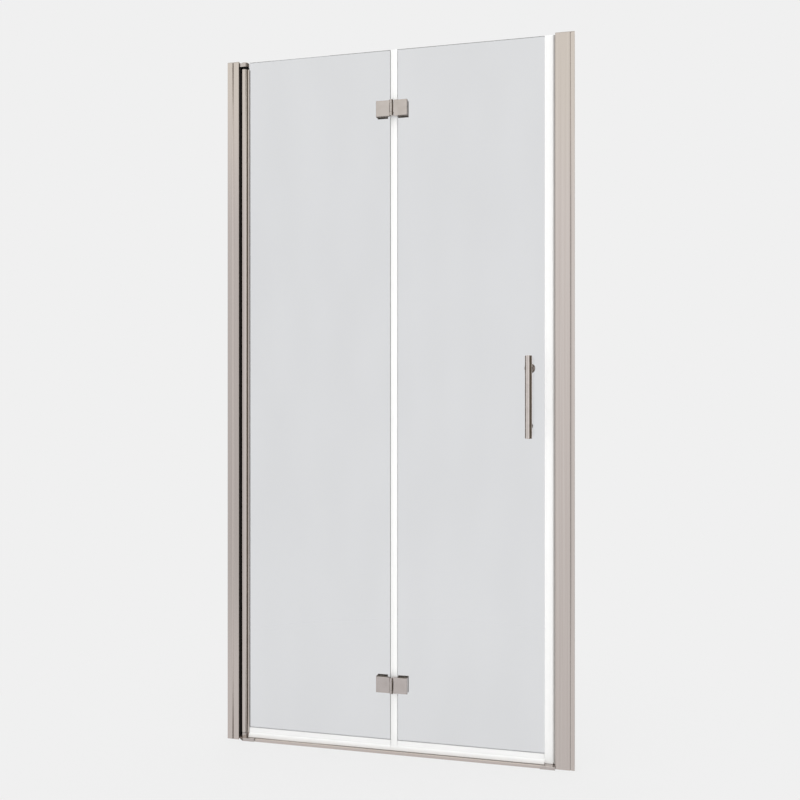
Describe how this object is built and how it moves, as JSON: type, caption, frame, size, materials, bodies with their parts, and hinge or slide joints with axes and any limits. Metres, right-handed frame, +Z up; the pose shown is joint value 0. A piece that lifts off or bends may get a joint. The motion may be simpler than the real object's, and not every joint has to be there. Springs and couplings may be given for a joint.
{
  "type": "frameless bi-fold pivot shower door",
  "caption": "Frameless bi-fold shower door in brushed nickel: a pivot post carries one clear glass panel, and a second panel with a bar pull folds on glass-to-glass hinges",
  "frame": {"origin": "on the underside of the threshold, at mid width between the two walls, in the middle plane of the glass", "axes": "+X along the door from the pivot side to the closing side, +Y from outside into the shower, +Z up"},
  "size_m": [0.92, 0.0774, 1.829],
  "materials": {
    "nickel_aluminium": "extruded aluminium, brushed nickel anodised",
    "nickel_castings": "die-cast and turned metal, brushed nickel plated",
    "clear_glass": "clear tempered glass with polished edges",
    "white_seal": "white flexible PVC extrusion",
    "grey_seal": "grey flexible PVC extrusion",
    "black_nylon": "moulded black nylon",
    "black_rubber": "black EPDM",
    "clear_vinyl": "clear vinyl",
    "steel_fasteners": "stainless steel",
    "magnet_strip": "bonded flexible magnet"
  },
  "bodies": {
    "frame": {"hinge_wall_channel": "nickel_aluminium", "strike_wall_channel": "nickel_aluminium", "hinge_jamb": "nickel_aluminium", "strike_jamb": "nickel_aluminium", "hinge_jamb_cap": "nickel_castings", "strike_jamb_cap": "nickel_castings", "hinge_jamb_seal": "black_rubber", "strike_magnet_holder": "grey_seal", "strike_magnet": "magnet_strip", "jamb_fixing_screws": "steel_fasteners", "jamb_screw_covers": "nickel_castings", "top_pivot_bracket": "nickel_castings", "top_pivot_pin": "steel_fasteners", "bottom_pivot_foot": "nickel_castings", "bottom_pivot_pin": "steel_fasteners", "pivot_bracket_screws": "steel_fasteners", "threshold": "nickel_aluminium", "threshold_end_cap": "nickel_castings"},
    "pivot_panel": {"pivot_post": "nickel_aluminium", "top_pivot_bush": "black_nylon", "bottom_pivot_bush": "black_nylon", "post_glazing_gasket": "grey_seal", "pivot_glass": "clear_glass", "pivot_bottom_seal": "white_seal", "pivot_leaf_screws": "steel_fasteners", "upper_hinge_pivot_leaf": "nickel_castings", "upper_hinge_pivot_plate": "nickel_castings", "upper_hinge_pivot_pads": "black_rubber", "upper_hinge_pin": "steel_fasteners", "lower_hinge_pivot_leaf": "nickel_castings", "lower_hinge_pivot_plate": "nickel_castings", "lower_hinge_pivot_pads": "black_rubber", "lower_hinge_pin": "steel_fasteners"},
    "folding_panel": {"upper_hinge_fold_leaf": "nickel_castings", "lower_hinge_fold_leaf": "nickel_castings", "upper_hinge_fold_plate": "nickel_castings", "lower_hinge_fold_plate": "nickel_castings", "handle_bar": "nickel_castings", "upper_handle_standoff": "nickel_castings", "lower_handle_standoff": "nickel_castings", "upper_handle_rosette": "nickel_castings", "lower_handle_rosette": "nickel_castings", "upper_handle_inner_cap": "nickel_castings", "lower_handle_inner_cap": "nickel_castings", "folding_glass": "clear_glass", "folding_bottom_seal": "white_seal", "mid_seal": "white_seal", "closing_seal": "white_seal", "upper_hinge_fold_pads": "black_rubber", "lower_hinge_fold_pads": "black_rubber", "handle_washers": "clear_vinyl", "fold_leaf_screws": "steel_fasteners", "handle_screws": "steel_fasteners", "closing_magnet": "magnet_strip"}
  },
  "joints": [
    {"name": "panel_pivot", "type": "hinge", "parent": "frame", "child": "pivot_panel", "pos_m": [-0.4146, 0, 0.9135], "axis": [0, 0, 1], "range_deg": [0, 90]},
    {"name": "panel_fold", "type": "hinge", "parent": "pivot_panel", "child": "folding_panel", "pos_m": [-0.0047, -0.0164, 0.9225], "axis": [0, 0, -1], "range_deg": [0, 165]}
  ]
}
